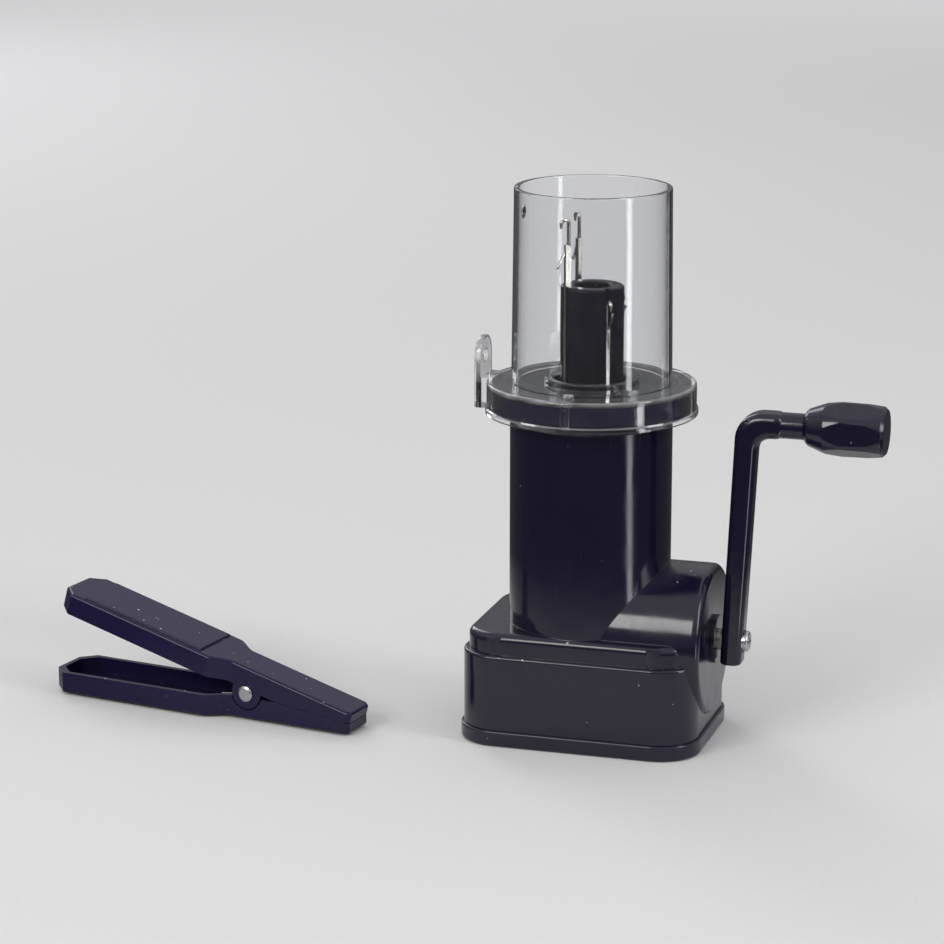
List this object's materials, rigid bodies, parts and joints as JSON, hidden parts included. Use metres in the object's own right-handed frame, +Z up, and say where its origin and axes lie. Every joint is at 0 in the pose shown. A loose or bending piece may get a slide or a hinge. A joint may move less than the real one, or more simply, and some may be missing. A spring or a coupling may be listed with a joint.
{
  "type": "i-cord maker",
  "caption": "Hand-cranked cord knitting mill: clear guard, latch needles in a turning cylinder, cams, bevel gears, crank, and a clip weight.",
  "frame": {"origin": "centre of the cord outlet in the flat underside, on the needle cylinder's axis", "axes": "+Z up along the needle cylinder's axis, +X towards the crank, -X towards the yarn guide and the clip, -Y towards the front"},
  "size_m": [0.2395, 0.0591, 0.154],
  "materials": {
    "navy_plastic": "glossy moulded ABS, very dark indigo",
    "clear_plastic": "clear moulded polystyrene",
    "white_plastic": "natural moulded acetal",
    "nylon_washer": "natural nylon",
    "needle_steel": "polished, nickel-plated needle steel",
    "shaft_steel": "turned mild steel",
    "zinc_steel": "zinc-plated steel",
    "spring_steel": "drawn spring wire"
  },
  "bodies": {
    "root": {"main_housing": "navy_plastic", "base_cover": "navy_plastic", "cover_screws": "zinc_steel", "clear_guard": "clear_plastic", "lower_cam_sleeve": "white_plastic", "upper_cam_sleeve": "navy_plastic", "shaft_bush": "navy_plastic", "thrust_washer": "nylon_washer"},
    "crank": {"drive_shaft": "shaft_steel", "drive_gear": "white_plastic", "gear_ring": "shaft_steel", "crank_arm": "navy_plastic", "crank_screw": "zinc_steel"},
    "knob": {"crank_knob": "navy_plastic"},
    "rotor": {"needle_cylinder": "navy_plastic", "cylinder_gear": "white_plastic"},
    "needle_1": {"needle_1": "needle_steel"},
    "needle_2": {"needle_2": "needle_steel"},
    "needle_3": {"needle_3": "needle_steel"},
    "needle_4": {"needle_4": "needle_steel"},
    "latch_1": {"latch_1": "needle_steel"},
    "latch_2": {"latch_2": "needle_steel"},
    "latch_3": {"latch_3": "needle_steel"},
    "latch_4": {"latch_4": "needle_steel"},
    "clip": {"clip_lower_lever": "navy_plastic", "clip_pin": "zinc_steel", "clip_spring": "spring_steel"},
    "clip_jaw": {"clip_upper_lever": "navy_plastic"}
  },
  "joints": [
    {"name": "crank_turn", "type": "hinge", "parent": "root", "child": "crank", "pos_m": [0.03, 0, 0.029], "axis": [1, 0, 0], "continuous": true},
    {"name": "rotor_turn", "type": "hinge", "parent": "root", "child": "rotor", "pos_m": [0, 0, 0.02], "axis": [0, 0, 1], "continuous": true},
    {"name": "knob_spin", "type": "hinge", "parent": "crank", "child": "knob", "pos_m": [0.06, 0, 0.091], "axis": [1, 0, 0], "continuous": true},
    {"name": "needle_1_slide", "type": "slide", "parent": "rotor", "child": "needle_1", "axis": [0, 0, 1], "range_m": [0, 0.022]},
    {"name": "latch_1_swing", "type": "hinge", "parent": "needle_1", "child": "latch_1", "pos_m": [0.00587, 0.00587, 0.1154], "axis": [-0.7071, 0.7071, 0], "range_deg": [0, 125]},
    {"name": "needle_2_slide", "type": "slide", "parent": "rotor", "child": "needle_2", "axis": [0, 0, 1], "range_m": [-0.022, 0]},
    {"name": "latch_2_swing", "type": "hinge", "parent": "needle_2", "child": "latch_2", "pos_m": [-0.00587, 0.00587, 0.1374], "axis": [-0.7071, -0.7071, 0], "range_deg": [-125, 0]},
    {"name": "needle_3_slide", "type": "slide", "parent": "rotor", "child": "needle_3", "axis": [0, 0, 1], "range_m": [-0.022, 0]},
    {"name": "latch_3_swing", "type": "hinge", "parent": "needle_3", "child": "latch_3", "pos_m": [-0.00587, -0.00587, 0.1374], "axis": [0.7071, -0.7071, 0], "range_deg": [-125, 0]},
    {"name": "needle_4_slide", "type": "slide", "parent": "rotor", "child": "needle_4", "axis": [0, 0, 1], "range_m": [0, 0.022]},
    {"name": "latch_4_swing", "type": "hinge", "parent": "needle_4", "child": "latch_4", "pos_m": [0.00587, -0.00587, 0.1154], "axis": [0.7071, 0.7071, 0], "range_deg": [0, 125]},
    {"name": "clip_lift", "type": "slide", "parent": "root", "child": "clip", "axis": [0, 0, 1], "range_m": [0, 0.15]},
    {"name": "clip_squeeze", "type": "hinge", "parent": "clip", "child": "clip_jaw", "pos_m": [-0.0932, -0.0181, 0.0081], "axis": [-0.1736, -0.9848, 0], "range_deg": [0, 16], "stiffness_Nm_per_rad": 0.08, "springref_deg": -34.38, "deforming": ["clip_spring"]}
  ],
  "couplings": [
    {"joint": "rotor_turn", "follows": "crank_turn", "ratio": 1.2}
  ]
}
